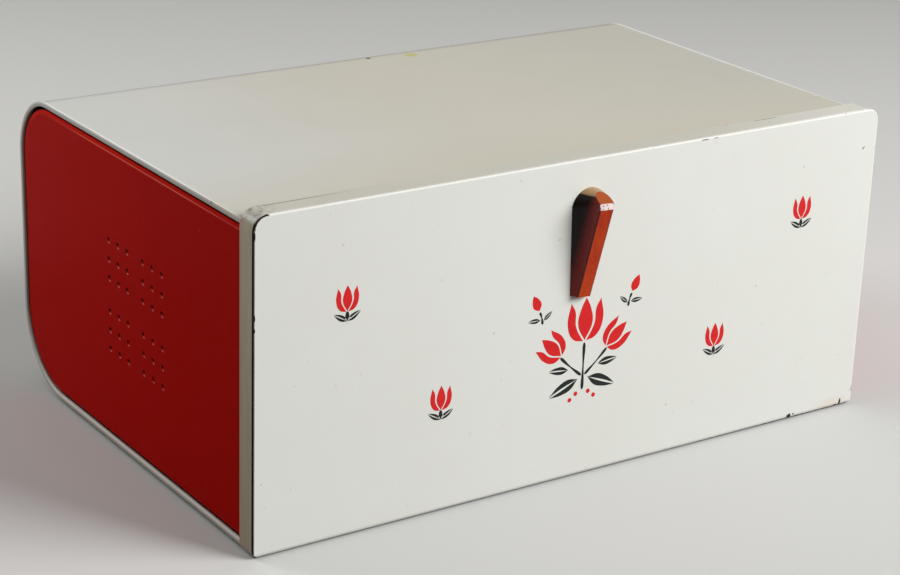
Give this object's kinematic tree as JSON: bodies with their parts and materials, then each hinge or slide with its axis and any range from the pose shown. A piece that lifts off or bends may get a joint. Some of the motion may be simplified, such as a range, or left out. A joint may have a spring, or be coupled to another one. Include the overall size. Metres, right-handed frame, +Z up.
{
  "type": "bread box",
  "caption": "Enamelled sheet-metal bread box with rounded rear corners, vented end panels and a bottom-hinged drop-down front door with a tapering pull.",
  "frame": {"origin": "on the table under the middle of the whole bread box", "axes": "+X to the right of the door as it is faced, +Y from the door to the back, +Z up"},
  "size_m": [0.406, 0.2912, 0.1832],
  "materials": {
    "case_enamel": "gloss enamel, lightly yellowed",
    "door_enamel": "gloss enamel with small chips",
    "end_enamel": "gloss enamel",
    "handle_plastic": "polished",
    "steel": "zinc plated"
  },
  "bodies": {
    "case": {"case_wrap": "case_enamel", "front_frame": "case_enamel", "end_panel_left": "end_enamel", "end_panel_right": "end_enamel", "catch_spring": "steel", "catch_rivets": "steel", "frame_rivets": "steel", "hinge_lug_left": "steel", "hinge_lug_right": "steel", "pivot_pin_left": "steel", "pivot_pin_right": "steel"},
    "door": {"door_skin": "door_enamel", "door_liner": "case_enamel", "hinge_tube": "steel", "handle": "handle_plastic", "handle_screw": "steel", "handle_washer": "steel", "catch_strike": "steel"}
  },
  "joints": [
    {"name": "door_hinge", "type": "hinge", "parent": "case", "child": "door", "pos_m": [0, -0.1274, 0.0034], "axis": [1, 0, 0], "range_deg": [0, 84]}
  ]
}
